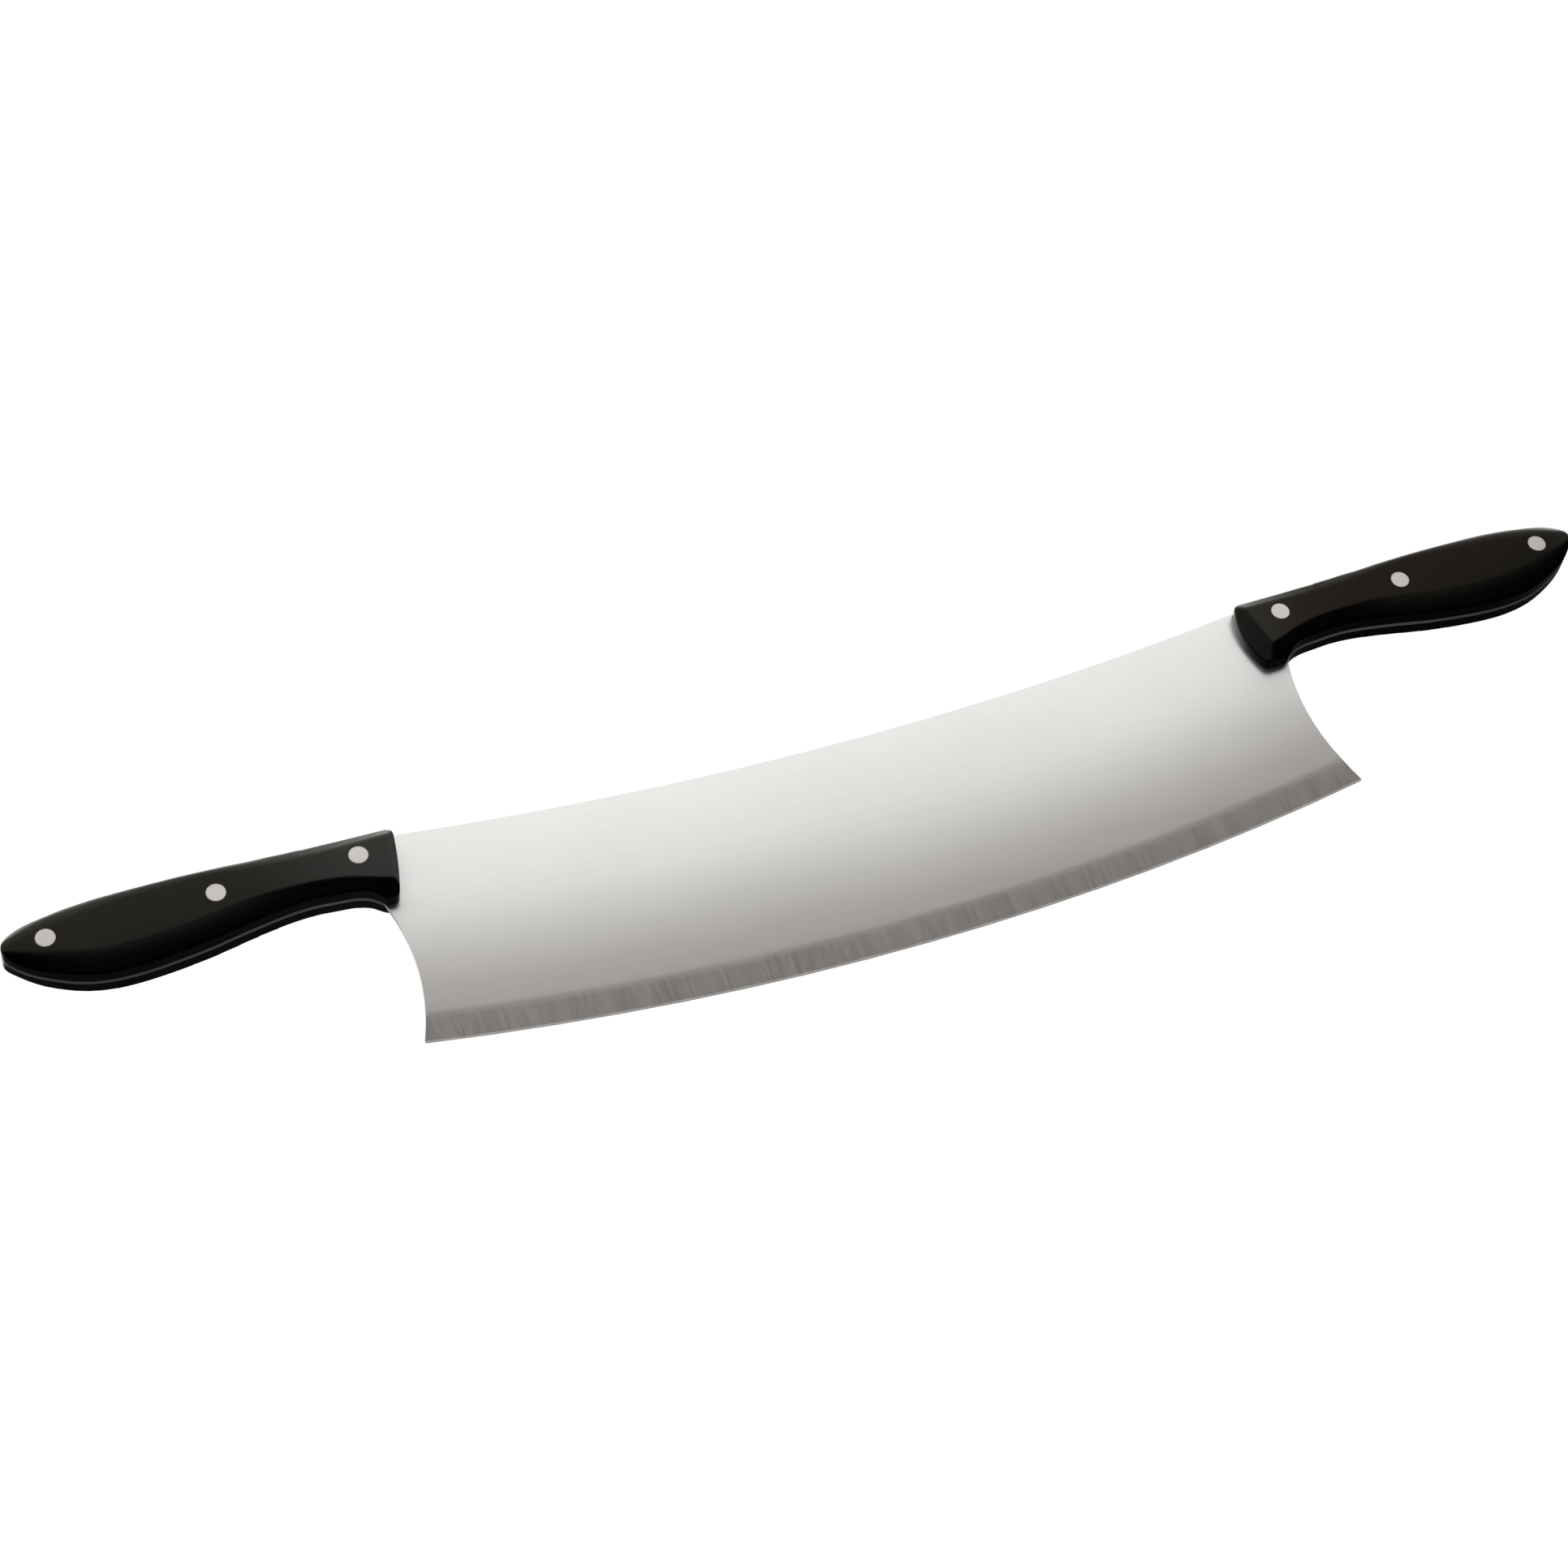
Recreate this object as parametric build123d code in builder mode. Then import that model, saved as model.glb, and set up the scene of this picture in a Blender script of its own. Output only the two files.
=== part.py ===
"""Two-handled rocking knife, lying on its side.

One steel plate makes the blade and both tangs. Each tang is covered by a front and
a back scale, held by three cutler's rivets that are pressed together from both faces.
The length runs along X, the spine faces +Y, the cutting edge faces -Y and the front
faces +Z. Sizes are in millimetres. Heights across the blade are given from the line
of the rivets, and thicknesses from the middle of the plate.
"""
from build123d import *
import math
import os

os.makedirs("parts", exist_ok=True)

# ---- blade ------------------------------------------------------------------
BLADE_LENGTH = 305.0          # straight distance between the two tips
BLADE_DEPTH = 74.9            # spine to cutting edge, at the middle
BLADE_THICKNESS = 1.6
EDGE_RADIUS = 887.0           # rocking curve of the cutting edge
SPINE_RISE = 8.7              # the spine climbs this much from its middle to a handle
TIP_ROUND = 0.6
SPINE_BREAK = 0.2             # sharp corners taken off along the spine
GRIND_WIDTH = 8.8             # ground band along the cutting edge
GRIND_LEAVES = 0.3            # thickness at the outer side of that band
HONE_WIDTH = 0.5              # last bevel, on the cutting edge itself
HONE_LEAVES = 0.06

HEEL_STEP = 2.6               # the heel's top end lies this far inside the tip
HEEL_TOP_Y = -13.0
HEEL_HOLLOW = 4.5             # the heel's curve lies this far inside its ends

# ---- handles ----------------------------------------------------------------
HANDLE_LENGTH = 119.8
HANDLE_OVERLAP = 10.4         # the scales reach this far over the blade
SCALE_THICKNESS = 5.5
FOOT_Y = -16.2                # lowest corner of a scale, over the heel
FOOT_CORNER_ROUND = 2.2
SPINE_CORNER_ROUND = 2.4
END_BEVEL_ANGLE = 25.0        # slope of the bevel at the blade end of a scale
END_BEVEL_TOP = (2.5, 4.5)    # that bevel's upper line, from the spine corner
END_BEVEL_LOW = (5.4, -10.3)

# Both blade ends are ground by hand, so the right pair stands a little prouder.
# Each: how far the end's top, middle and foot lie from the start of the handle.
END_SHAPE = {"left": (0.5, 2.1, 5.4), "right": (0.0, -1.7, 1.5)}
END_MIDDLE_Y = -3.5
FOOT_END_INSET = 1.5          # the foot's flat underside ends here, inside the heel's top
FOOT_END_RISE = 0.3

# Sections of a scale along its length, as fractions of the handle's length:
# wall below, face edge below, face edge above, wall above, drop of the shoulder below
# and above, how crisp the face edge is (1) or how soft (0), drop of the face.
SECTIONS = (
    (-0.06, -16.4, -13.0, 4.2, 7.1, 1.5, 1.3, 1.0, 0.0),
    (0.02, -16.2, -11.1, 4.3, 7.1, 1.5, 1.3, 1.0, 0.0),
    (0.10, -13.0, -8.4, 4.2, 7.2, 1.4, 1.2, 1.0, 0.0),
    (0.18, -10.5, -5.7, 4.2, 7.4, 1.3, 1.2, 1.0, 0.0),
    (0.26, -9.9, -4.7, 4.5, 7.7, 1.2, 1.1, 0.9, 0.0),
    (0.34, -10.7, -4.4, 5.2, 8.1, 1.1, 1.0, 0.6, 0.0),
    (0.42, -12.2, -4.8, 6.2, 8.6, 1.0, 0.9, 0.3, 0.0),
    (0.50, -14.0, -5.7, 6.8, 9.0, 1.0, 0.8, 0.1, 0.0),
    (0.58, -15.3, -6.5, 6.6, 9.25, 1.0, 0.8, 0.0, 0.0),
    (0.66, -16.2, -7.2, 6.2, 9.35, 1.1, 0.9, 0.0, 0.0),
    (0.74, -16.3, -7.2, 5.6, 9.25, 1.2, 1.0, 0.0, 0.0),
    (0.82, -14.8, -5.9, 4.6, 8.7, 1.4, 1.1, 0.0, 0.0),
    (0.90, -10.8, -3.9, 3.2, 7.4, 1.5, 1.2, 0.0, 0.1),
    (0.98, -3.7, -0.8, 1.8, 4.6, 1.4, 1.0, 0.0, 1.0),
    (1.06, -6.0, -1.0, 1.5, 6.0, 1.6, 1.4, 0.0, 3.0),
)
FOOT_CURVE_START = (1, 0.6)
FOOT_CURVE = ((11.5, -13.6), (13.9, -12.0))  # from the spine corner, down to the heel
BUTT_Y = 1.2                  # height of the butt's outermost point
PLAN_SECTIONS = SECTIONS[3:-1]
FACE_SPARE = 0.02             # the shoulders start this far above the flat face
SHOULDER_REACH = 1.4          # the shoulders run past the walls, which trim them

# ---- rivets -----------------------------------------------------------------
RIVET_FROM_BOLSTER = 13.1
RIVET_FROM_BUTT = 13.0
MIDDLE_RIVET_PLACE = 0.461    # between the two others
RIVET_HEAD_RADIUS = 3.0
RIVET_HEAD_DEPTH = 2.4
TUBE_RADIUS = 2.0
PIN_RADIUS = 1.3
TUBE_END_GAP = 0.3            # between the tube's end and the other half's head
PIN_END_GAP = 0.8             # between the pin's end and the bottom of the tube
TANG_HOLE_CLEARANCE = 0.1

# ---- worked out -------------------------------------------------------------
HALF_BLADE = BLADE_THICKNESS / 2
FACE_Z = HALF_BLADE + SCALE_THICKNESS
SCALE_TOP_Y = SECTIONS[0][4]
SPINE_MIDDLE_Y = SCALE_TOP_Y - SPINE_RISE
EDGE_MIDDLE_Y = SPINE_MIDDLE_Y - BLADE_DEPTH
EDGE_CENTRE_Y = EDGE_MIDDLE_Y + EDGE_RADIUS
TIP_X = BLADE_LENGTH / 2
TIP_Y = EDGE_CENTRE_Y - math.sqrt(EDGE_RADIUS**2 - TIP_X**2)
HEEL_TOP_X = TIP_X - HEEL_STEP
HANDLE_START_X = HEEL_TOP_X - HANDLE_OVERLAP
OUTER_RIVET = HANDLE_LENGTH - RIVET_FROM_BUTT
MIDDLE_RIVET = RIVET_FROM_BOLSTER + MIDDLE_RIVET_PLACE * (OUTER_RIVET - RIVET_FROM_BOLSTER)
RIVETS = {"inner": RIVET_FROM_BOLSTER, "middle": MIDDLE_RIVET, "outer": OUTER_RIVET}
HEAD_SEAT_Z = FACE_Z - RIVET_HEAD_DEPTH

# The part rests on its back scales, with the origin under the middle of its outline.
HIGHEST_Y = max(section[4] for section in SECTIONS)
MIDDLE = Plane(origin=(0, -(HIGHEST_Y + EDGE_MIDDLE_Y) / 2, FACE_Z))


def along(distance):
    """X of a point this far along the right handle from its spine corner."""
    return HANDLE_START_X + distance


def section_x(section):
    return along(section[0] * HANDLE_LENGTH)


def across(x):
    """Plane that cuts the part across at x, with +Y to its right and +Z up."""
    return Plane(origin=MIDDLE.origin + Vector(x, 0, 0), x_dir=(0, 1, 0), z_dir=(1, 0, 0))


def corner_at(sketch, point):
    return sketch.vertices().sort_by_distance(Vertex(*point))[0]


def scale_plan(end_top, end_middle, end_low):
    """Outline of a right handle, shared by its two scales and the tang."""
    spine_corner = (along(end_top), SCALE_TOP_Y)
    foot_corner = (along(end_low), FOOT_Y)
    foot_end = (HEEL_TOP_X - FOOT_END_INSET, FOOT_Y + FOOT_END_RISE)
    butt = (along(HANDLE_LENGTH), BUTT_Y)
    neck = [(along(distance), y) for distance, y in FOOT_CURVE]
    below = [(section_x(s), s[1]) for s in PLAN_SECTIONS]
    above = [(section_x(s), s[4]) for s in reversed(PLAN_SECTIONS)]
    top_run = Vector(*spine_corner) - Vector(*above[-1])
    with BuildSketch() as plan:
        with BuildLine():
            Spline(foot_end, *neck, *below, butt, *above, tangents=(FOOT_CURVE_START, top_run))
            Line(above[-1], spine_corner)
            ThreePointArc(spine_corner, (along(end_middle), END_MIDDLE_Y), foot_corner)
            Line(foot_corner, foot_end)
        make_face()
        fillet(corner_at(plan, foot_corner), FOOT_CORNER_ROUND)
        fillet(corner_at(plan, spine_corner), SPINE_CORNER_ROUND)
    return plan.sketch


def shoulder(edge_y, wall_y, top_z, drop, crispness):
    """Curve from the face's edge out past the wall: straight if crisp, else rounded."""
    run = SHOULDER_REACH * (wall_y - edge_y)
    fall = drop * SHOULDER_REACH ** (2 - crispness)
    return Bezier(
        (edge_y, top_z),
        (edge_y + run / 2, top_z - crispness * fall / 2),
        (edge_y + run, top_z - fall),
    )


# ---- crown: the ground form of the handles, which trims scales and rivets -----
with BuildPart() as crown:
    for section in SECTIONS:
        _, wall_low, edge_low, edge_high, wall_high, drop_low, drop_high, crispness, sunk = section
        top_z = FACE_Z + FACE_SPARE - sunk
        with BuildSketch(across(section_x(section))):
            with BuildLine():
                low = shoulder(edge_low, wall_low, top_z, drop_low, crispness)
                high = shoulder(edge_high, wall_high, top_z, drop_high, crispness)
                Line(low @ 0, high @ 0)
                Polyline(low @ 1, ((low @ 1).X, -FACE_Z), ((high @ 1).X, -FACE_Z), high @ 1)
            make_face()
    loft()


def make_scale(plan):
    """Front scale of a right handle, with stepped holes for its rivets."""
    line = Vector(*END_BEVEL_LOW) - Vector(*END_BEVEL_TOP)
    outward = Vector(line.Y, -line.X).normalized()
    slope = math.radians(END_BEVEL_ANGLE)
    bevel = Plane(
        origin=MIDDLE.from_local_coords((along(END_BEVEL_TOP[0]), END_BEVEL_TOP[1], FACE_Z)),
        x_dir=line,
        z_dir=outward * math.sin(slope) + Vector(0, 0, math.cos(slope)),
    )
    with BuildPart() as scale:
        with BuildSketch(MIDDLE.offset(HALF_BLADE)):
            add(plan)
        extrude(amount=SCALE_THICKNESS)
        add(crown.part, mode=Mode.INTERSECT)
        split(bisect_by=bevel, keep=Keep.BOTTOM)
        with Locations(MIDDLE.offset(FACE_Z)):
            with Locations(*[(along(distance), 0) for distance in RIVETS.values()]):
                CounterBoreHole(TUBE_RADIUS, RIVET_HEAD_RADIUS, RIVET_HEAD_DEPTH, SCALE_THICKNESS)
    return scale.part


def make_rivet_tube(distance):
    """Hollow front half of a rivet: its head is ground flush with the front scale."""
    place = (along(distance), 0)
    with BuildPart() as half:
        with BuildSketch(MIDDLE.offset(HEAD_SEAT_Z)):
            with Locations(place):
                Circle(RIVET_HEAD_RADIUS)
        extrude(amount=RIVET_HEAD_DEPTH)
        add(crown.part, mode=Mode.INTERSECT)
        with BuildSketch(MIDDLE.offset(HEAD_SEAT_Z)):
            with Locations(place):
                Circle(TUBE_RADIUS)
                Circle(PIN_RADIUS, mode=Mode.SUBTRACT)
        extrude(amount=TUBE_END_GAP - 2 * HEAD_SEAT_Z)
    return half.part


def make_rivet_pin(distance):
    """Solid half of a rivet, drawn on the front: its pin is pressed into the tube."""
    place = (along(distance), 0)
    with BuildPart() as half:
        with BuildSketch(MIDDLE.offset(HEAD_SEAT_Z)):
            with Locations(place):
                Circle(RIVET_HEAD_RADIUS)
        extrude(amount=RIVET_HEAD_DEPTH)
        add(crown.part, mode=Mode.INTERSECT)
        with BuildSketch(MIDDLE.offset(HEAD_SEAT_Z)):
            with Locations(place):
                Circle(PIN_RADIUS)
        extrude(amount=PIN_END_GAP - 2 * HEAD_SEAT_Z)
    return half.part


def save(part, name):
    part.label = name
    export_step(part, f"parts/{name}.step")


# ---- blade: one plate with a tang at each end ---------------------------------
plans = {side: scale_plan(*shape) for side, shape in END_SHAPE.items()}
right_tip = (TIP_X, TIP_Y)
left_tip = (-TIP_X, TIP_Y)
heel_top = (HEEL_TOP_X, HEEL_TOP_Y)
heel_middle = ((TIP_X + HEEL_TOP_X) / 2 - HEEL_HOLLOW, (TIP_Y + HEEL_TOP_Y) / 2)
spine_end = (along(0), SCALE_TOP_Y)
hidden_end = (HEEL_TOP_X, SCALE_TOP_Y)
axis_of_edge = Axis(MIDDLE.origin + Vector(0, EDGE_CENTRE_Y, 0), (0, 0, 1))

with BuildPart() as blade:
    with BuildSketch(MIDDLE.offset(-HALF_BLADE)) as plate:
        with BuildLine():
            ThreePointArc(left_tip, (0, EDGE_MIDDLE_Y), right_tip)
            heel = ThreePointArc(right_tip, heel_middle, heel_top)
            inside = Polyline(heel_top, hidden_end, spine_end)
            mirror(heel, about=Plane.YZ)
            mirror(inside, about=Plane.YZ)
            ThreePointArc((-spine_end[0], spine_end[1]), (0, SPINE_MIDDLE_Y), spine_end)
        make_face()
        for tip in (left_tip, right_tip):
            fillet(corner_at(plate, tip), TIP_ROUND)
    extrude(amount=BLADE_THICKNESS)
    back_of_blade = blade.edges().filter_by(
        lambda edge: edge.length > TIP_X and edge.center().Y > MIDDLE.origin.Y + SPINE_MIDDLE_Y - SPINE_RISE
    )
    chamfer(back_of_blade, SPINE_BREAK)
    with BuildSketch(MIDDLE.offset(-HALF_BLADE)):
        add(plans["right"])
        mirror(plans["left"], about=Plane.YZ)
    extrude(amount=BLADE_THICKNESS)
    # ground band and honed bevel on both faces, following the rocking curve
    with BuildSketch(across(0)):
        with BuildLine():
            Polyline(
                (EDGE_MIDDLE_Y + GRIND_WIDTH, HALF_BLADE),
                (EDGE_MIDDLE_Y + HONE_WIDTH, GRIND_LEAVES / 2),
                (EDGE_MIDDLE_Y, HONE_LEAVES / 2),
                (EDGE_MIDDLE_Y - HALF_BLADE, HONE_LEAVES / 2),
                (EDGE_MIDDLE_Y - HALF_BLADE, BLADE_THICKNESS),
                (EDGE_MIDDLE_Y + GRIND_WIDTH, BLADE_THICKNESS),
                close=True,
            )
        make_face()
        mirror(about=Plane.XZ)
    revolve(axis=axis_of_edge, mode=Mode.SUBTRACT)
    with Locations(MIDDLE.offset(HALF_BLADE)):
        with Locations(*[(side * along(distance), 0) for side in (-1, 1) for distance in RIVETS.values()]):
            Hole(TUBE_RADIUS + TANG_HOLE_CLEARANCE, depth=BLADE_THICKNESS)
save(blade.part, "blade")

# ---- scales and rivets, drawn on the right front and mirrored from there --------
for side in ("right", "left"):
    front_scale = make_scale(plans[side])
    pieces = {"front_scale": front_scale, "back_scale": front_scale.mirror(MIDDLE)}
    for place, distance in RIVETS.items():
        pieces[f"{place}_rivet_tube"] = make_rivet_tube(distance)
        pieces[f"{place}_rivet_pin"] = make_rivet_pin(distance).mirror(MIDDLE)
    for name, piece in pieces.items():
        save(piece if side == "right" else piece.mirror(Plane.YZ), f"{side}_{name}")
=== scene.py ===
"""Looks of the two-handled rocking knife: ground steel blade, black scales, steel rivets.

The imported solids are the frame. The four scales are rebuilt with eased rims, and
every piece gets its finish. All lengths are in metres, in the frame of the solids.
"""
import math

import bmesh
import bpy
from bpy.props import (
    FloatProperty,
    FloatVectorProperty,
    IntProperty,
    PointerProperty,
)
from mathutils import Matrix, Quaternion, Vector


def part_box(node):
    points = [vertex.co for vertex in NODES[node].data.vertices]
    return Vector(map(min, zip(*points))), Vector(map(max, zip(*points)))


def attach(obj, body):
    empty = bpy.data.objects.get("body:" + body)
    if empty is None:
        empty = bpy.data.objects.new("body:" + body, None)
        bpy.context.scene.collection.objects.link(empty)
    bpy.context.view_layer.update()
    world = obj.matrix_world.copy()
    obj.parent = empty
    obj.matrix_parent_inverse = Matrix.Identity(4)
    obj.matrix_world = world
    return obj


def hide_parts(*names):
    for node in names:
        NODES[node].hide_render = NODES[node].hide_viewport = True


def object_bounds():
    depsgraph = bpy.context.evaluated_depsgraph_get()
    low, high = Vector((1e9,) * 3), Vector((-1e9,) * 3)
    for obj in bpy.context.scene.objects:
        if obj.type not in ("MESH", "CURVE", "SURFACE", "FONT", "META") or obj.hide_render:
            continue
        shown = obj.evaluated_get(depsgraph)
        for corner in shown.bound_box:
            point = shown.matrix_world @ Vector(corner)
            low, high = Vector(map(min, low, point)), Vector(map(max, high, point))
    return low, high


bl_info = {
    "name": "Rocking Knife Finish",
    "version": (1, 0, 0),
    "blender": (4, 5, 0),
    "location": "View3D > Sidebar > Rocking Knife",
    "description": "Eases the scales of a two-handled rocking knife and gives its pieces their finish",
    "category": "Object",
}

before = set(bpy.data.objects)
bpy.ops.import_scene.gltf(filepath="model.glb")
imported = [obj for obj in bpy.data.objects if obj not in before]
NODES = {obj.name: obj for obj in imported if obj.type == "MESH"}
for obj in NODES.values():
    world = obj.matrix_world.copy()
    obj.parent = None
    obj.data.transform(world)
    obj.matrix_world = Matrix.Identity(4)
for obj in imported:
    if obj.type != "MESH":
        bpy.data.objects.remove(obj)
CAD_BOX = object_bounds()

SIDES = ("left", "right")
FACES = ("front", "back")
PLACES = ("inner", "middle", "outer")
HALVES = ("tube", "pin")
ROOT = "root"


def rivet_centre(side, place):
    low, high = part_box(f"{side}_{place}_rivet_tube")
    return (low + high) / 2


# ---- measures taken from the solids --------------------------------------------
BLADE_LOW, BLADE_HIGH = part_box("blade")
PLATE_MIDDLE_Z = (BLADE_LOW.z + BLADE_HIGH.z) / 2
TANG_START_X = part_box("right_front_scale")[0].x
RIVET_CENTRES = {(side, place): rivet_centre(side, place) for side in SIDES for place in PLACES}
HEAD_LOW, HEAD_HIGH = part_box("right_inner_rivet_tube")
HEAD_RADIUS = (HEAD_HIGH.x - HEAD_LOW.x) / 2

# ---- blade ---------------------------------------------------------------------
BRUSHING_TURN = math.radians(3.0)   # the brushing runs this far off the blade's length
BRUSHING_DEPTH = 0.0000035
PAINTED_SHADE_FADE = 0.045                 # painted shade: the plate's colour darkens towards the ground band over this width above it
CREASE_REACH = 0.0015               # half the width over which the ground band's boundary is rounded
CREASE_TILT = 0.078                 # slope of the ground band against the plate
HONE_WIDTH = 0.0006
HONE_BLUR = 0.0001                  # half the width of the honed bevel's boundary
HONE_LIFT = 0.19                    # slope that turns the honed bevel back towards the face
STREAK_FEATHER = 0.0030             # how far single ground lines reach past the band
WAVE_FEATHER = 0.0022               # how far the band's boundary wanders
JOINT_SHADOW_AND_GRIME = (0.00055, 0.00082)     # from the plate's middle: where the painted shadow and grime along the scales begin, are full
TANG_BLEND = 0.004                  # the tang's painted shadow and grime come in over this length
WALL_TILT = (0.3, 0.6)              # upward part of the normal on the plate's side walls, and off them
STREAK_SHADE = (0.965, 0.965, 0.965)
CLOUD_SHADE = (0.975, 0.975, 0.975)
BAND_SHADE = 0.93                   # the ground band's dark lines against its own colour
BAND_ROUGHNESS = (0.30, 0.40)
RUBBED_STEEL = (0.93, 0.93, 0.92)
RUBBED_SHARE = 0.3
HONED_STEEL = (0.80, 0.78, 0.76)
# colour of the painted shadow in the joint along the scales, partly grime
SHADOW_AND_GRIME_STEEL = (0.03, 0.025, 0.02)

# ---- rivets --------------------------------------------------------------------
HEAD_RIM = (0.0003, 0.00002)        # the painted shade round the head's rim begins and is full this far inside the head
HEAD_SHADES = ((0.71, 0.686, 0.672), (0.83, 0.80, 0.79))  # dark and light rings against the steel
HEAD_ROUGHNESS = (0.34, 0.44)
HEAD_RING_DEPTH = 0.000002
# painted shade: dark ring round the rim of each head, where the gap to its seat lies
PAINTED_RIM_SHADE = (0.34, 0.33, 0.32)

# ---- plastic -------------------------------------------------------------------
# gloss by place along the knife: over each span it goes from the first weight to the second
LEFT_GLOSS = (-0.190, -0.150, 0.40, 0.92)
RIGHT_GLOSS = (0.110, 0.172, 1.0, 0.0)
PLASTIC_IOR = 1.265
GLOSS_IOR = 1.36
GLOSS_TINT = (1.0, 0.86, 0.70, 1.0)
PLASTIC_CLOUDS = (0.8, 1.25)        # dark and light clouds against the plastic's colour
RUBBED_PLASTIC_SHARE = 0.6
GRAIN_DEPTH = 0.000008

# ---- scale meshes --------------------------------------------------------------
# the scales are cut into cells at a slant, so that no rim follows a row of cells
CELL_TURN = Matrix.Rotation(math.radians(33.0), 4, "Z") @ Matrix.Rotation(math.radians(14.0), 4, "X")
EASE_FACTOR = 0.5
SHARP_ANGLE = math.radians(50.0)
SEAT_MARGIN = 1.01                  # faces within this many head radii of a rivet belong to its hole
SEAT_SIDES = 96
SEAT_OVERRUN = 0.001                # the seat cutters stand this far out of the scale
BASE_SPARE = 0.002                  # the inner face is drawn out this far, eased and cut back flat
WELD_REACH = 1e-7
BASE_REACH = 1e-6

# ---- stage ---------------------------------------------------------------------
SENSOR_WIDTH = 36.0                 # in millimetres
WALL_TINT = (1.0, 0.985, 0.965)
CEILING_TINT = (1.0, 0.985, 0.963)
CEILING_CORNERS = ((-1.6, -1.2), (2.0, 1.6))
CEILING_SIDES = ((-0.40, -0.15, 0.85, 1.0), (0.42, 0.54, 1.0, 0.74))  # dimmer past its two ends
CEILING_SETBACKS = ((-0.15, -0.05, 0.055, 0.0), (0.35, 0.44, 0.0, 0.055))  # its edge stands back there
CEILING_GRADE = (                   # brightness by distance behind the knife's middle
    (0.00, 0.0),
    (0.08, 0.02),
    (0.14, 0.10),
    (0.18, 0.32),
    (0.22, 0.72),
    (0.27, 0.97),
    (0.34, 1.0),
)
BACKDROP_SPAN = (0.25, 0.85)        # how far a direction points back where the backdrop begins, is full
TABLE_SPAN = (-0.75, -0.25)         # the same for directions down to the table
FRONT_LIGHT = 0.02
SEEN_WHITE = 1.05                   # the walls as the camera sees them
LAMP_PLACES = {"near": (0.0, -1.8, 0.85), "left": (-1.8, 0.0, 0.85), "right": (1.8, 0.0, 0.85)}
LAMP_SIZE = (3.6, 1.5)              # width and height of each side lamp
FLOOR_REACH = 12.0
FLOOR_GAP = 0.0002
FLOOR_COVER = 0.004                 # how much of the floor is matt white; the rest is clear over white walls
FLOOR_WHITE = (0.9, 0.9, 0.9, 1.0)


# ---- sizes and colours a user would change -------------------------------------
class ScaleShape(bpy.types.PropertyGroup):
    """How the handle scales are eased"""

    cell: FloatProperty(
        name="Cell", description="Size of one mesh cell on a scale",
        default=0.0003, min=0.0002, max=0.002, subtype="DISTANCE", unit="LENGTH", precision=5,
    )
    passes: IntProperty(
        name="Easing Passes", description="More passes round the rims further", default=10, min=1, max=40,
    )
    seat_clearance: FloatProperty(
        name="Rivet Seat Clearance", description="Gap between a rivet head and its seat in the scale",
        default=0.00007, min=0.0, max=0.0005, subtype="DISTANCE", unit="LENGTH", precision=5,
    )


class PlasticFinish(bpy.types.PropertyGroup):
    """Moulded black plastic of the scales"""

    color: FloatVectorProperty(
        name="Colour", description="Colour of the plastic", default=(0.0016, 0.0012, 0.0009),
        subtype="COLOR", min=0.0, max=1.0,
    )
    worn_color: FloatVectorProperty(
        name="Rubbed Colour", description="Colour of the plastic where its edges are rubbed",
        default=(0.0080, 0.0064, 0.0050), subtype="COLOR", min=0.0, max=1.0,
    )
    roughness: FloatProperty(
        name="Roughness", description="Roughness of the polished plastic", default=0.19, min=0.0, max=1.0,
    )


class SteelFinish(bpy.types.PropertyGroup):
    """Brushed and ground stainless steel"""

    color: FloatVectorProperty(
        name="Colour", description="Colour of the brushed steel", default=(0.945, 0.947, 0.945),
        subtype="COLOR", min=0.0, max=1.0,
    )
    # painted shade: the steel's colour darkened next to the ground band, standing in for the light falling
    # off there
    low_color: FloatVectorProperty(
        name="Low Colour", description="Colour of the brushed steel next to the ground band",
        default=(0.63, 0.613, 0.596), subtype="COLOR", min=0.0, max=1.0,
    )
    ground_color: FloatVectorProperty(
        name="Ground Colour", description="Colour of the ground band along the edge",
        default=(0.66, 0.621, 0.597), subtype="COLOR", min=0.0, max=1.0,
    )
    roughness: FloatProperty(
        name="Roughness", description="Roughness of the brushed steel", default=0.31, min=0.0, max=1.0,
    )
    edge_radius: FloatProperty(
        name="Edge Radius", description="Radius of the rocking curve of the cutting edge",
        default=0.887, subtype="DISTANCE", unit="LENGTH",
    )
    band_width: FloatProperty(
        name="Ground Band", description="Width of the ground band along the cutting edge",
        default=0.0088, subtype="DISTANCE", unit="LENGTH", precision=4,
    )


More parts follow.
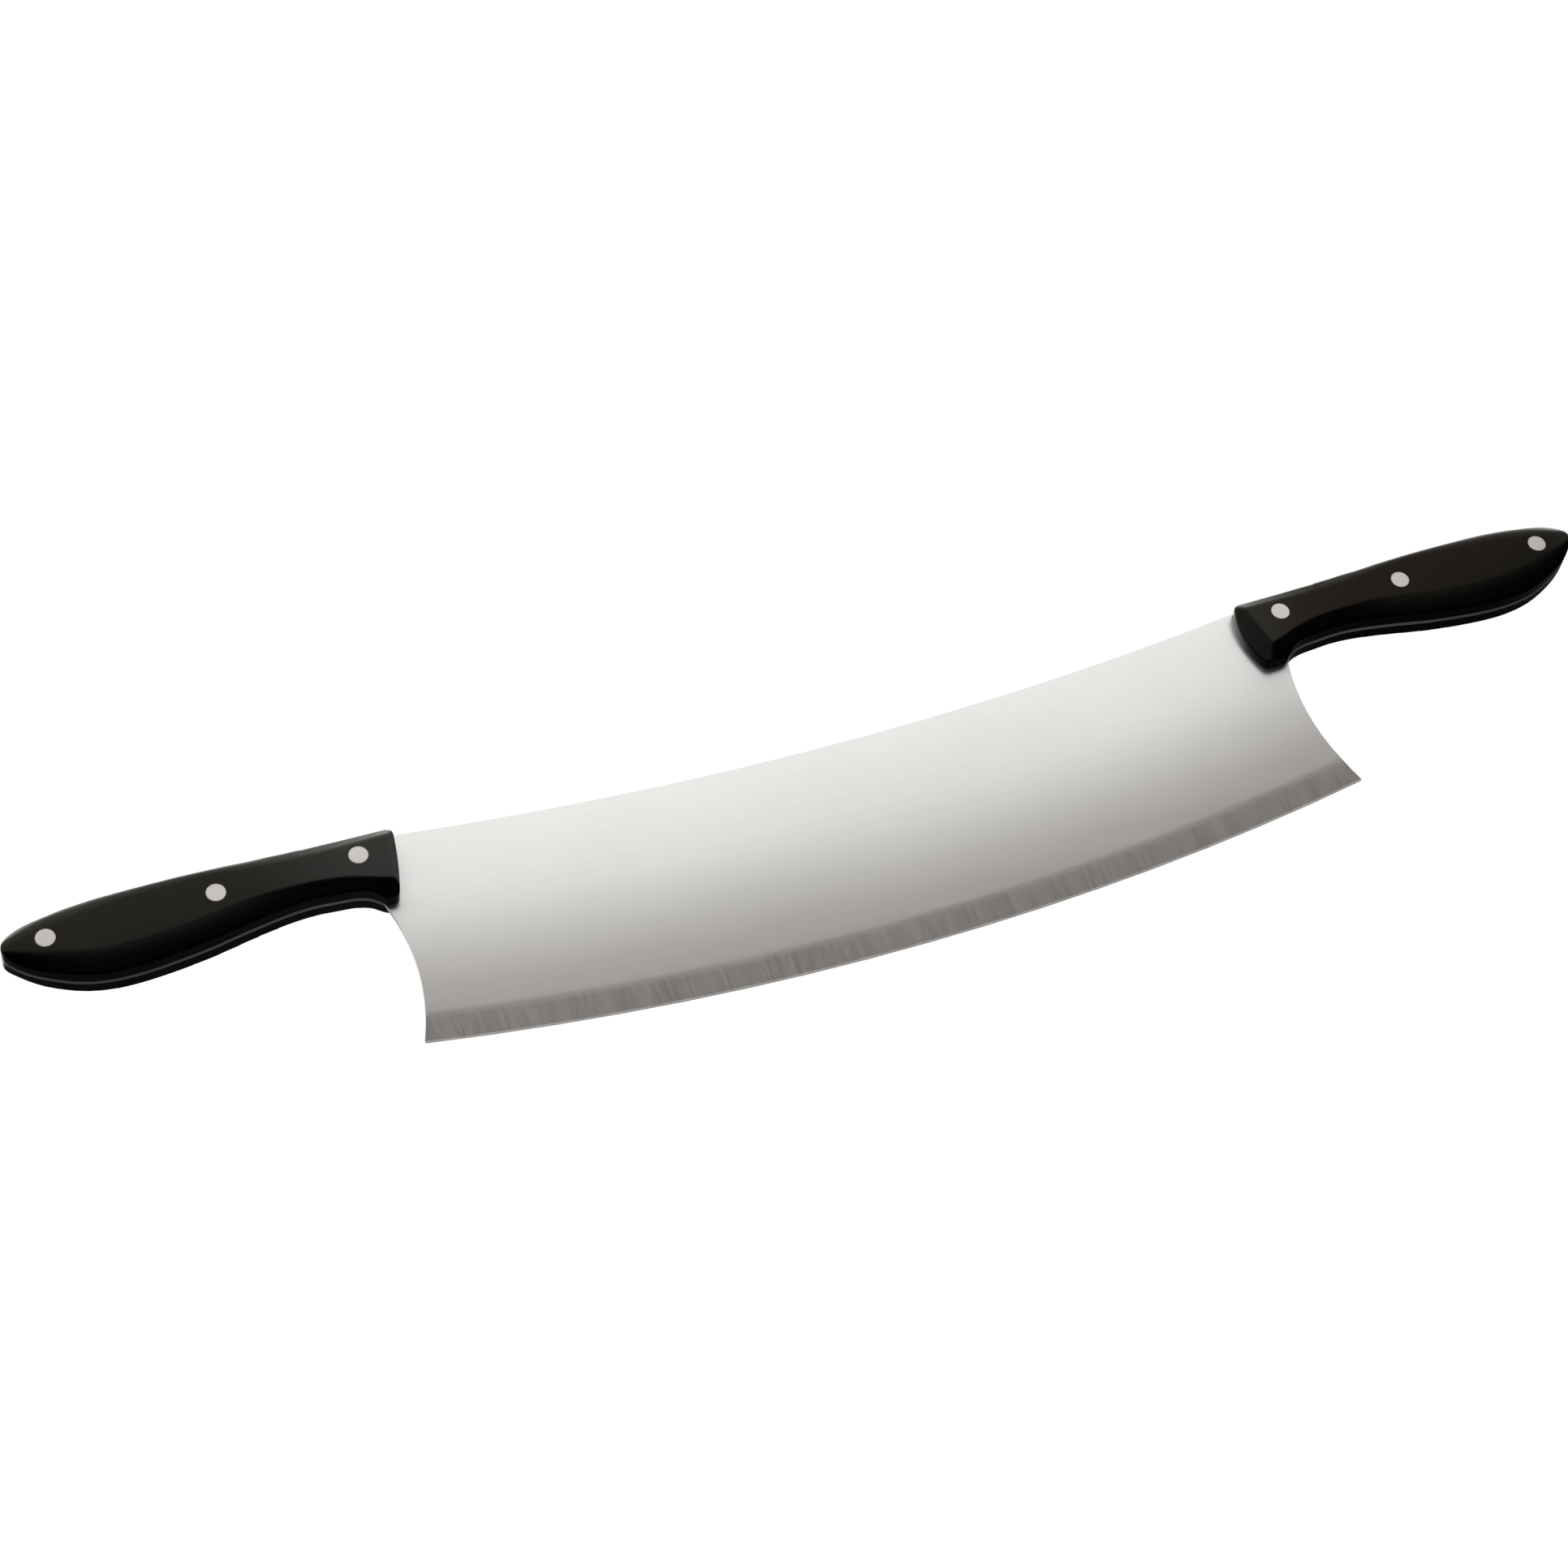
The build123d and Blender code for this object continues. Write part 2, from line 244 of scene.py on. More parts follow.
class StudioStage(bpy.types.PropertyGroup):
    """Camera, floor and light"""

    aim: FloatVectorProperty(
        name="Aim", description="Point the camera looks at", default=(-0.0209, 0.0230, 0.0063),
        subtype="TRANSLATION", unit="LENGTH", precision=4,
    )
    distance: FloatProperty(
        name="Distance", description="From the camera to its aim", default=1.0939,
        subtype="DISTANCE", unit="LENGTH",
    )
    azimuth: FloatProperty(
        name="Azimuth", description="Turn of the camera round the vertical",
        default=math.radians(-29.37), subtype="ANGLE", unit="ROTATION",
    )
    elevation: FloatProperty(
        name="Elevation", description="Height of the camera above the horizon",
        default=math.radians(55.86), subtype="ANGLE", unit="ROTATION",
    )
    roll: FloatProperty(
        name="Roll", description="Turn of the camera about its own axis",
        default=math.radians(9.985), subtype="ANGLE", unit="ROTATION",
    )
    lens: FloatProperty(
        name="Lens", description="Focal length on a 36 mm sensor", default=82.37, unit="CAMERA",
    )
    ceiling_height: FloatProperty(
        name="Ceiling Height", description="Height of the graded light ceiling over the blade",
        default=0.4, subtype="DISTANCE", unit="LENGTH",
    )
    ceiling_light: FloatProperty(
        name="Ceiling Light", description="Brightness of the ceiling's bright side", default=1.05, min=0.0,
    )
    table_light: FloatProperty(
        name="Table Light", description="Brightness of the light thrown back by the table",
        default=0.03, min=0.0,
    )
    side_light: FloatProperty(
        name="Side Light", description="Brightness of the lamps on the other three sides",
        default=0.8, min=0.0,
    )
    backdrop_light: FloatProperty(
        name="Backdrop Light", description="Brightness of the wall behind the knife", default=3.2, min=0.0,
    )


# ---- shader building -----------------------------------------------------------
def add_node(tree, kind, sockets=None, **settings):
    """New node whose sockets take a value or a link from another node's output."""
    made = tree.nodes.new(kind)
    for name, value in settings.items():
        setattr(made, name, value)
    for name, value in (sockets or {}).items():
        if isinstance(value, bpy.types.NodeSocket):
            tree.links.new(value, made.inputs[name])
        else:
            made.inputs[name].default_value = value
    return made


def calc(tree, operation, first, *others):
    """Maths on one value, or on the first value and each of the others in turn."""
    if not others:
        return add_node(tree, "ShaderNodeMath", {0: first}, operation=operation).outputs[0]
    for other in others:
        first = add_node(tree, "ShaderNodeMath", {0: first, 1: other}, operation=operation).outputs[0]
    return first


def vector_calc(tree, operation, *values, output="Vector"):
    made = add_node(tree, "ShaderNodeVectorMath", dict(enumerate(values)), operation=operation)
    return made.outputs[output]


def remap(tree, value, low, high, to_low=0.0, to_high=1.0, kind="SMOOTHSTEP"):
    sockets = {"Value": value, "From Min": low, "From Max": high, "To Min": to_low, "To Max": to_high}
    return add_node(tree, "ShaderNodeMapRange", sockets, interpolation_type=kind).outputs["Result"]


def blend(tree, factor, first, second, kind="MIX"):
    """Colour between the first and the second, or the two multiplied."""
    sockets = {0: factor, 6: first, 7: second}
    return add_node(tree, "ShaderNodeMix", sockets, data_type="RGBA", blend_type=kind).outputs[2]


def share(tree, first, second, part):
    """Sum of two values, with the given part of the first."""
    return calc(tree, "ADD", calc(tree, "MULTIPLY", first, part), calc(tree, "MULTIPLY", second, 1.0 - part))


def solid(color, factor=1.0):
    return (*(channel * factor for channel in color), 1.0)


def noise(tree, vector, scale, detail=2.0, roughness=0.5):
    sockets = {"Vector": vector, "Scale": scale, "Detail": detail, "Roughness": roughness}
    return add_node(tree, "ShaderNodeTexNoise", sockets).outputs["Fac"]


def parts_of(tree, vector):
    """X, Y and Z of a vector."""
    return add_node(tree, "ShaderNodeSeparateXYZ", {0: vector}).outputs


def joined(tree, x, y, z):
    """Vector made of three values."""
    return add_node(tree, "ShaderNodeCombineXYZ", {"X": x, "Y": y, "Z": z}).outputs[0]


def flat_reach(tree, place, centre):
    """Level distance from a point of the surface to a centre."""
    offset = vector_calc(tree, "SUBTRACT", place, centre)
    flat = vector_calc(tree, "MULTIPLY", offset, (1.0, 1.0, 0.0))
    return vector_calc(tree, "LENGTH", flat, output="Value")


def bump(tree, height, depth, normal=None):
    sockets = {"Height": height, "Distance": depth, "Strength": 1.0}
    if normal is not None:
        sockets["Normal"] = normal
    return add_node(tree, "ShaderNodeBump", sockets).outputs["Normal"]


def new_group(name, inputs, outputs):
    """Empty shader group with named sockets; gives the tree, its input and its output node."""
    tree = bpy.data.node_groups.new(name, "ShaderNodeTree")
    for label, kind, value in inputs:
        socket = tree.interface.new_socket(label, in_out="INPUT", socket_type=kind)
        if value is not None:
            socket.default_value = value
    for label in outputs:
        tree.interface.new_socket(label, in_out="OUTPUT", socket_type="NodeSocketFloat")
    return tree, tree.nodes.new("NodeGroupInput").outputs, tree.nodes.new("NodeGroupOutput").inputs


def use_group(tree, build, **sockets):
    """Places a shader group, which is built on its first use."""
    name = build.__name__.replace("_", " ").title()
    group = bpy.data.node_groups.get(name) or build(name)
    named = {label.replace("_", " "): value for label, value in sockets.items()}
    return add_node(tree, "ShaderNodeGroup", named, node_tree=group).outputs


def brushed_lines(name):
    """Fine lines that run along the vector's first axis, in two widths."""
    tree, given, result = new_group(
        name,
        [
            ("Vector", "NodeSocketVector", None),
            ("Lines per Metre", "NodeSocketFloat", 1500.0),
            ("Line Length", "NodeSocketFloat", 0.02),
        ],
        ["Height", "Shade"],
    )
    along = calc(tree, "DIVIDE", 1.0, given["Line Length"])
    stretch = joined(tree, along, given["Lines per Metre"], along)
    place = vector_calc(tree, "MULTIPLY", given["Vector"], stretch)
    fine = noise(tree, place, 1.0, detail=3.0, roughness=0.65)
    broad = noise(tree, vector_calc(tree, "MULTIPLY", place, (0.35, 0.12, 0.35)), 1.0)
    height = share(tree, fine, broad, 0.65)
    tree.links.new(height, result["Height"])
    tree.links.new(remap(tree, height, 0.3, 0.7), result["Shade"])
    return tree


def edge_rub(name):
    """Mask of the outer edges, broken up by a fine noise, and a slow cloud of variation."""
    tree, given, result = new_group(
        name,
        [
            ("Vector", "NodeSocketVector", None),
            ("Start", "NodeSocketFloat", 0.52),
            ("End", "NodeSocketFloat", 0.6),
            ("Cloud Scale", "NodeSocketFloat", 60.0),
        ],
        ["Edge", "Cloud"],
    )
    point = tree.nodes.new("ShaderNodeNewGeometry").outputs["Pointiness"]
    fine = calc(tree, "SUBTRACT", noise(tree, given["Vector"], 900.0), 0.5)
    broken = calc(tree, "ADD", point, calc(tree, "MULTIPLY", fine, 0.05))
    tree.links.new(remap(tree, broken, given["Start"], given["End"]), result["Edge"])
    tree.links.new(noise(tree, given["Vector"], given["Cloud Scale"], detail=4.0), result["Cloud"])
    return tree


def fine_grain(name):
    """Height of a fine moulded grain, in two sizes."""
    tree, given, result = new_group(
        name,
        [("Vector", "NodeSocketVector", None), ("Grains per Metre", "NodeSocketFloat", 2500.0)],
        ["Height"],
    )
    small = noise(tree, given["Vector"], given["Grains per Metre"])
    large = noise(tree, given["Vector"], calc(tree, "MULTIPLY", given["Grains per Metre"], 0.15))
    tree.links.new(share(tree, small, large, 0.6), result["Height"])
    return tree


def empty_tree(owner):
    """Node tree of a new material or world, cleared."""
    owner.use_nodes = True
    owner.node_tree.nodes.clear()
    return owner.node_tree


def show(tree, shader, output="ShaderNodeOutputMaterial"):
    tree.links.new(shader.outputs[0], tree.nodes.new(output).inputs["Surface"])


def new_material(name):
    """Material with a Principled shader; gives it, its tree, the shader and the place in the frame."""
    material = bpy.data.materials.new(name)
    tree = empty_tree(material)
    shader = tree.nodes.new("ShaderNodeBsdfPrincipled")
    show(tree, shader)
    return material, tree, shader, tree.nodes.new("ShaderNodeTexCoord").outputs["Object"]


def dress(obj, material):
    obj.data.materials.clear()
    obj.data.materials.append(material)


# ---- materials -----------------------------------------------------------------
def tang_shadow_and_grime(tree, run):
    """Mask of the dark line where the tang's side walls meet the scales: painted shadow in the joint, partly
    grime.
    """
    normal = parts_of(tree, tree.nodes.new("ShaderNodeNewGeometry").outputs["True Normal"])
    on_wall = remap(tree, calc(tree, "ABSOLUTE", normal["Z"]), *WALL_TILT, 1.0, 0.0)
    on_tang = remap(tree, calc(tree, "ABSOLUTE", run["X"]), TANG_START_X, TANG_START_X + TANG_BLEND)
    height = calc(tree, "ABSOLUTE", calc(tree, "SUBTRACT", run["Z"], PLATE_MIDDLE_Z))
    return calc(tree, "MULTIPLY", remap(tree, height, *JOINT_SHADOW_AND_GRIME), on_tang, on_wall)


def blade_color(tree, finish, from_edge, band, brushed, ground, rub):
    """Plate with painted shade that darkens it towards the band, the band itself, rubbed edges and the honed
    bevel.
    """
    # painted shade: the plate's colour goes from the darkened colour at the band to the plain steel
    out_of_painted_shade = remap(tree, from_edge, finish.band_width, finish.band_width + PAINTED_SHADE_FADE)
    plate = blend(tree, out_of_painted_shade, solid(finish.low_color), solid(finish.color))
    white = solid((1.0, 1.0, 1.0))
    streaks = blend(tree, brushed["Shade"], solid(STREAK_SHADE), white)
    clouds = blend(tree, remap(tree, rub["Cloud"], 0.35, 0.65), solid(CLOUD_SHADE), white)
    plate = blend(tree, 1.0, blend(tree, 1.0, plate, streaks, "MULTIPLY"), clouds, "MULTIPLY")
    dark_band = solid(finish.ground_color, BAND_SHADE)
    band_color = blend(tree, ground["Shade"], dark_band, solid(finish.ground_color))
    rubbed = calc(tree, "MULTIPLY", rub["Edge"], RUBBED_SHARE)
    bright = blend(tree, rubbed, blend(tree, band, plate, band_color), solid(RUBBED_STEEL))
    honed = remap(tree, from_edge, HONE_WIDTH - HONE_BLUR, HONE_WIDTH + HONE_BLUR, 1.0, 0.0)
    return blend(tree, honed, bright, solid(HONED_STEEL))


def blade_normal(tree, finish, from_edge, band, brushed, ground):
    """Brushing, with the band's boundary rounded and the honed bevel turned up."""
    plate_lines = calc(tree, "MULTIPLY", brushed["Height"], calc(tree, "SUBTRACT", 1.0, band))
    band_lines = calc(tree, "MULTIPLY", ground["Height"], band)
    brushing = bump(tree, calc(tree, "ADD", plate_lines, band_lines), BRUSHING_DEPTH)
    from_crease = calc(tree, "ABSOLUTE", calc(tree, "SUBTRACT", from_edge, finish.band_width))
    inside = calc(tree, "MAXIMUM", calc(tree, "SUBTRACT", CREASE_REACH, from_crease), 0.0)
    sunk = calc(tree, "MULTIPLY", calc(tree, "POWER", inside, 2.0), -CREASE_TILT / (4 * CREASE_REACH))
    bevel = calc(tree, "MAXIMUM", calc(tree, "SUBTRACT", HONE_WIDTH, from_edge), 0.0)
    raised = calc(tree, "MULTIPLY", bevel, HONE_LIFT)
    return bump(tree, calc(tree, "ADD", sunk, raised), 1.0, brushing)


def blade_steel(finish):
    """Lengthwise brushed plate with a band ground across its cutting edge."""
    material, tree, shader, place = new_material("Blade Steel")
    link = tree.links.new
    run = parts_of(tree, place)
    reach = flat_reach(tree, place, (0.0, BLADE_LOW.y + finish.edge_radius, 0.0))
    from_edge = calc(tree, "SUBTRACT", finish.edge_radius, reach)
    across = joined(tree, from_edge, run["X"], run["Z"])
    turned = add_node(
        tree, "ShaderNodeVectorRotate", {"Vector": place, "Axis": (0.0, 0.0, 1.0), "Angle": BRUSHING_TURN},
        rotation_type="AXIS_ANGLE",
    ).outputs[0]
    brushed = use_group(tree, brushed_lines, Vector=turned, Lines_per_Metre=1500.0, Line_Length=0.03)
    ground = use_group(tree, brushed_lines, Vector=across, Lines_per_Metre=1300.0, Line_Length=0.012)
    rub = use_group(tree, edge_rub, Vector=place, Start=0.56, End=0.7, Cloud_Scale=18.0)

    wave = calc(tree, "SUBTRACT", noise(tree, place, 55.0), 0.5)
    streaks = calc(tree, "SUBTRACT", ground["Height"], 0.5)
    feather = calc(
        tree, "ADD",
        calc(tree, "MULTIPLY", streaks, STREAK_FEATHER), calc(tree, "MULTIPLY", wave, WAVE_FEATHER),
    )
    band = remap(
        tree, calc(tree, "ADD", from_edge, feather),
        finish.band_width - CREASE_REACH, finish.band_width + CREASE_REACH, 1.0, 0.0,
    )
    steel = blade_color(tree, finish, from_edge, band, brushed, ground, rub)
    # the tang's side walls darken towards the scales: painted joint shadow, partly grime
    link(blend(tree, tang_shadow_and_grime(tree, run), steel, solid(SHADOW_AND_GRIME_STEEL)), shader.inputs["Base Color"])

    plate_span = (finish.roughness - 0.03, finish.roughness + 0.04)
    plate_rough = remap(tree, brushed["Height"], 0.3, 0.7, *plate_span, "LINEAR")
    band_rough = remap(tree, ground["Height"], 0.3, 0.7, *BAND_ROUGHNESS, "LINEAR")
    rough = add_node(tree, "ShaderNodeMix", {0: band, 2: plate_rough, 3: band_rough}, data_type="FLOAT")
    link(rough.outputs[0], shader.inputs["Roughness"])
    link(blade_normal(tree, finish, from_edge, band, brushed, ground), shader.inputs["Normal"])
    shader.inputs["Metallic"].default_value = 1.0
    return material


def rivet_steel(finish):
    """Faced rivet heads: fine turned rings and a rim darkened with painted shade."""
    material, tree, shader, place = new_material("Rivet Steel")
    link = tree.links.new
    reaches = [flat_reach(tree, place, (centre.x, centre.y, 0.0)) for centre in RIVET_CENTRES.values()]
    nearest = calc(tree, "MINIMUM", *reaches)
    ring = joined(tree, 0.0, nearest, 0.0)
    rings = use_group(tree, brushed_lines, Vector=ring, Lines_per_Metre=3500.0, Line_Length=0.01)
    swirl = use_group(tree, brushed_lines, Vector=place, Lines_per_Metre=1400.0, Line_Length=0.004)
    shade = share(tree, rings["Shade"], swirl["Shade"], 0.5)
    dark, light = (
        solid([channel * part for channel, part in zip(finish.color, parts)]) for parts in HEAD_SHADES
    )
    # painted shade along the head's rim
    rim = remap(tree, nearest, *(HEAD_RADIUS - inset for inset in HEAD_RIM))
    link(blend(tree, rim, blend(tree, shade, dark, light), solid(PAINTED_RIM_SHADE)), shader.inputs["Base Color"])
    link(remap(tree, shade, 0.0, 1.0, *HEAD_ROUGHNESS, "LINEAR"), shader.inputs["Roughness"])
    link(bump(tree, rings["Height"], HEAD_RING_DEPTH), shader.inputs["Normal"])
    shader.inputs["Metallic"].default_value = 1.0
    return material


def handle_plastic(finish):
    """Polished black plastic with a fine grain, faint lengthwise polish and rubbed edges."""
    material, tree, shader, place = new_material("Handle Plastic")
    link = tree.links.new
    rub = use_group(tree, edge_rub, Vector=place, Start=0.515, End=0.56, Cloud_Scale=45.0)
    polish = use_group(tree, brushed_lines, Vector=place, Lines_per_Metre=900.0, Line_Length=0.02)
    grain = use_group(tree, fine_grain, Vector=place, Grains_per_Metre=2200.0)
    along = parts_of(tree, place)["X"]
    gloss = calc(tree, "MULTIPLY", remap(tree, along, *LEFT_GLOSS), remap(tree, along, *RIGHT_GLOSS))
    link(gloss, shader.inputs["Coat Weight"])
    dark, light = (solid(finish.color, factor) for factor in PLASTIC_CLOUDS)
    clouded = blend(tree, remap(tree, rub["Cloud"], 0.35, 0.65), dark, light)
    rubbed = calc(tree, "MULTIPLY", rub["Edge"], RUBBED_PLASTIC_SHARE)
    link(blend(tree, rubbed, clouded, solid(finish.worn_color)), shader.inputs["Base Color"])
    rough_span = (finish.roughness - 0.04, finish.roughness + 0.05)
    base_rough = remap(tree, rub["Cloud"], 0.3, 0.7, *rough_span, "LINEAR")
    polish_rough = calc(tree, "MULTIPLY", polish["Shade"], 0.05)
    link(calc(tree, "ADD", base_rough, polish_rough), shader.inputs["Roughness"])
    height = share(tree, grain["Height"], polish["Height"], 0.6)
    link(bump(tree, height, GRAIN_DEPTH), shader.inputs["Normal"])
    shader.inputs["IOR"].default_value = PLASTIC_IOR
    shader.inputs["Coat IOR"].default_value = GLOSS_IOR
    shader.inputs["Coat Roughness"].default_value = finish.roughness
    shader.inputs["Specular Tint"].default_value = GLOSS_TINT
    return material


# ---- scales --------------------------------------------------------------------
def is_in_seat(face, centres):
    """Whether a face belongs to a rivet's stepped hole."""
    limit = HEAD_RADIUS * SEAT_MARGIN
    return any(
        all((vert.co.xy - centre.xy).length < limit for vert in face.verts) for centre in centres
    )


def link_object(name, mesh):
    obj = bpy.data.objects.new(name, mesh)
    bpy.context.scene.collection.objects.link(obj)
    return obj


def apply_modifiers(obj):
    """Replaces an object's mesh by its modified mesh and drops the modifiers."""
    bpy.context.view_layer.update()
    graph = bpy.context.evaluated_depsgraph_get()
    mesh = bpy.data.meshes.new_from_object(obj.evaluated_get(graph))
    old = obj.data
    obj.modifiers.clear()
    obj.data = mesh
    bpy.data.meshes.remove(old)


def plain_scale(node, centres, base_z, spare):
    """The solid's mesh with its rivet holes filled and its inner face drawn out by spare."""
    mesh = bpy.data.meshes.new(f"{node}_plain")
    work = bmesh.new()
    work.from_mesh(NODES[node].data)
    bmesh.ops.remove_doubles(work, verts=work.verts, dist=WELD_REACH)
    seats = [face for face in work.faces if is_in_seat(face, centres)]
    bmesh.ops.delete(work, geom=seats, context="FACES")
    loose = [vert for vert in work.verts if not vert.link_faces]
    bmesh.ops.delete(work, geom=loose, context="VERTS")
    rims = [edge for edge in work.edges if edge.is_boundary]
    bmesh.ops.holes_fill(work, edges=rims, sides=0)
    for vert in work.verts:
        if abs(vert.co.z - base_z) < BASE_REACH:
            vert.co.z += spare
    bmesh.ops.triangulate(work, faces=[face for face in work.faces if len(face.verts) > 4])
    bmesh.ops.recalc_face_normals(work, faces=work.faces)
    if any(not edge.is_manifold for edge in work.edges):
        raise RuntimeError(f"{node}: the scale is not closed after its holes were filled")
    work.to_mesh(mesh)
    work.free()
    return mesh


def trim_base(mesh, base_z, outward, low, high):
    """Cuts the mesh off at its inner face and keeps it inside the solid's box."""
    work = bmesh.new()
    work.from_mesh(mesh)
    cut = bmesh.ops.bisect_plane(
        work, geom=[*work.verts, *work.edges, *work.faces], clear_inner=True, dist=1e-8,
        plane_co=(0.0, 0.0, base_z), plane_no=(0.0, 0.0, outward),
    )
    rim = [item for item in cut["geom_cut"] if isinstance(item, bmesh.types.BMEdge)]
    bmesh.ops.contextual_create(work, geom=rim)
    for vert in work.verts:
        for axis in range(3):
            vert.co[axis] = min(max(vert.co[axis], low[axis]), high[axis])
    bmesh.ops.recalc_face_normals(work, faces=work.faces)
    work.to_mesh(mesh)
    work.free()


def seat_cutter(centres, radius, low_z, high_z):
    """One round plug for each rivet head."""
    mesh = bpy.data.meshes.new("rivet_seats")
    work = bmesh.new()
    for centre in centres:
        made = bmesh.ops.create_cone(
            work, cap_ends=True, segments=SEAT_SIDES, radius1=radius, radius2=radius, depth=high_z - low_z,
        )
        bmesh.ops.translate(work, verts=made["verts"], vec=(centre.x, centre.y, (low_z + high_z) / 2))
    work.to_mesh(mesh)
    work.free()
    return link_object("rivet_seats", mesh)


def cut_seats(scale, centres, radius, low_z, high_z):
    """Cuts the rivet heads' seats through a scale."""
    cutter = seat_cutter(centres, radius, low_z, high_z)
    holes = scale.modifiers.new("seats", "BOOLEAN")
    holes.operation = "DIFFERENCE"
    holes.solver = "EXACT"
    holes.object = cutter
    apply_modifiers(scale)
    plugs = cutter.data
    bpy.data.objects.remove(cutter)
    bpy.data.meshes.remove(plugs)


def eased_scale(side, face, shape):
    """Scale with rounded rims that stands for the solid of the same name."""
    node = f"{side}_{face}_scale"
    low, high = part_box(node)
    outward = 1.0 if face == "front" else -1.0
    base_z = low.z if face == "front" else high.z
    centres = [RIVET_CENTRES[side, place] for place in PLACES]
    scale = link_object(f"{side}_{face}_grip", plain_scale(node, centres, base_z, -BASE_SPARE * outward))
    scale.data.transform(CELL_TURN)
    remesh = scale.modifiers.new("cells", "REMESH")
    remesh.mode = "VOXEL"
    remesh.voxel_size = shape.cell
    ease = scale.modifiers.new("ease", "SMOOTH")
    ease.factor = EASE_FACTOR
    ease.iterations = shape.passes
    apply_modifiers(scale)
    scale.data.transform(CELL_TURN.inverted())
    trim_base(scale.data, base_z, outward, low, high)
    cut_seats(scale, centres, HEAD_RADIUS + shape.seat_clearance, low.z - SEAT_OVERRUN, high.z + SEAT_OVERRUN)
    for polygon in scale.data.polygons:
        polygon.use_smooth = True
    scale.data.set_sharp_from_angle(angle=SHARP_ANGLE)
    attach(scale, ROOT)
    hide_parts(node)
    return scale


# ---- stage ---------------------------------------------------------------------
def plane_mesh(name, low, high, z):
    mesh = bpy.data.meshes.new(name)
    corners = [(low[0], low[1], z), (high[0], low[1], z), (high[0], high[1], z), (low[0], high[1], z)]
    mesh.from_pydata(corners, [], [(0, 1, 2, 3)])
    return mesh


def graded_ceiling(stage):
    """Light ceiling that is bright behind the knife and fades out over it."""
    height = PLATE_MIDDLE_Z + stage.ceiling_height
    obj = link_object("light_ceiling", plane_mesh("light_ceiling", *CEILING_CORNERS, height))
    obj.visible_camera = False
    obj.visible_shadow = False
    material = bpy.data.materials.new("Light Ceiling")
    tree = empty_tree(material)
    place = parts_of(tree, tree.nodes.new("ShaderNodeTexCoord").outputs["Object"])
    grade = tree.nodes.new("ShaderNodeValToRGB")
    ramp = grade.color_ramp
    ramp.interpolation = "LINEAR"
    low, high = CEILING_GRADE[0][0], CEILING_GRADE[-1][0]
    while len(ramp.elements) < len(CEILING_GRADE):
        ramp.elements.new(0.5)
    for element, (y, level) in zip(ramp.elements, CEILING_GRADE):
        element.position = (y - low) / (high - low)
        element.color = solid(CEILING_TINT, level)
    setbacks = [remap(tree, place["X"], *reach) for reach in CEILING_SETBACKS]
    depth = calc(tree, "SUBTRACT", place["Y"], calc(tree, "ADD", *setbacks))
    tree.links.new(remap(tree, depth, low, high, kind="LINEAR"), grade.inputs[0])
    sides = [remap(tree, place["X"], *reach) for reach in CEILING_SIDES]
    strength = calc(tree, "MULTIPLY", *sides, stage.ceiling_light)
    show(tree, add_node(tree, "ShaderNodeEmission", {"Color": grade.outputs[0], "Strength": strength}))
    dress(obj, material)


def studio_world(stage):
    """Walls: bright behind the knife, dim in front; the camera itself sees plain white."""
    world = bpy.data.worlds.new("Studio Walls")
    bpy.context.scene.world = world
    tree = empty_tree(world)
    toward = parts_of(tree, tree.nodes.new("ShaderNodeTexCoord").outputs["Generated"])
    behind = remap(tree, toward["Y"], *BACKDROP_SPAN, FRONT_LIGHT, stage.backdrop_light)
    below = remap(tree, toward["Z"], *TABLE_SPAN, stage.table_light, 0.0)
    level = calc(tree, "ADD", behind, below)
    walls = add_node(tree, "ShaderNodeBackground", {"Color": solid(WALL_TINT), "Strength": level})
    plain = add_node(tree, "ShaderNodeBackground", {"Color": solid((1.0, 1.0, 1.0)), "Strength": SEEN_WHITE})
    seen = tree.nodes.new("ShaderNodeLightPath").outputs["Is Camera Ray"]
    both = add_node(tree, "ShaderNodeMixShader", {0: seen, 1: walls.outputs[0], 2: plain.outputs[0]})
    show(tree, both, "ShaderNodeOutputWorld")


def steel_lamps(stage):
    """Three wide, low lamps that only the steel answers to, for the sides away from the backdrop."""
    receivers = bpy.data.collections.new("lit_steel")
    for name, node in NODES.items():
        if name == "blade" or "rivet" in name:
            receivers.objects.link(node)
    for place, spot in LAMP_PLACES.items():
        lamp = bpy.data.lights.new(f"lamp_{place}", "AREA")
        lamp.shape = "RECTANGLE"
        lamp.size, lamp.size_y = LAMP_SIZE
        lamp.energy = stage.side_light * math.pi * LAMP_SIZE[0] * LAMP_SIZE[1]
        lamp.color = WALL_TINT
        obj = link_object(f"lamp_{place}", lamp)
        obj.location = spot
        obj.rotation_mode = "QUATERNION"
        obj.rotation_quaternion = Vector(spot).to_track_quat("Z", "Y")
        obj.visible_camera = False
        obj.light_linking.receiver_collection = receivers


def pale_floor():
    """White floor under the knife that only the camera sees, with a faint shadow."""
    corners = ((-FLOOR_REACH, -FLOOR_REACH), (FLOOR_REACH, FLOOR_REACH))
    obj = link_object("floor", plane_mesh("floor", *corners, CAD_BOX[0].z - FLOOR_GAP))
    obj.visible_glossy = False
    obj.visible_diffuse = False
    material = bpy.data.materials.new("Pale Floor")
    tree = empty_tree(material)
    clear = tree.nodes.new("ShaderNodeBsdfTransparent")
    matt = add_node(tree, "ShaderNodeBsdfDiffuse", {"Color": FLOOR_WHITE})
    both = add_node(tree, "ShaderNodeMixShader", {0: FLOOR_COVER, 1: clear.outputs[0], 2: matt.outputs[0]})
    show(tree, both)
    dress(obj, material)


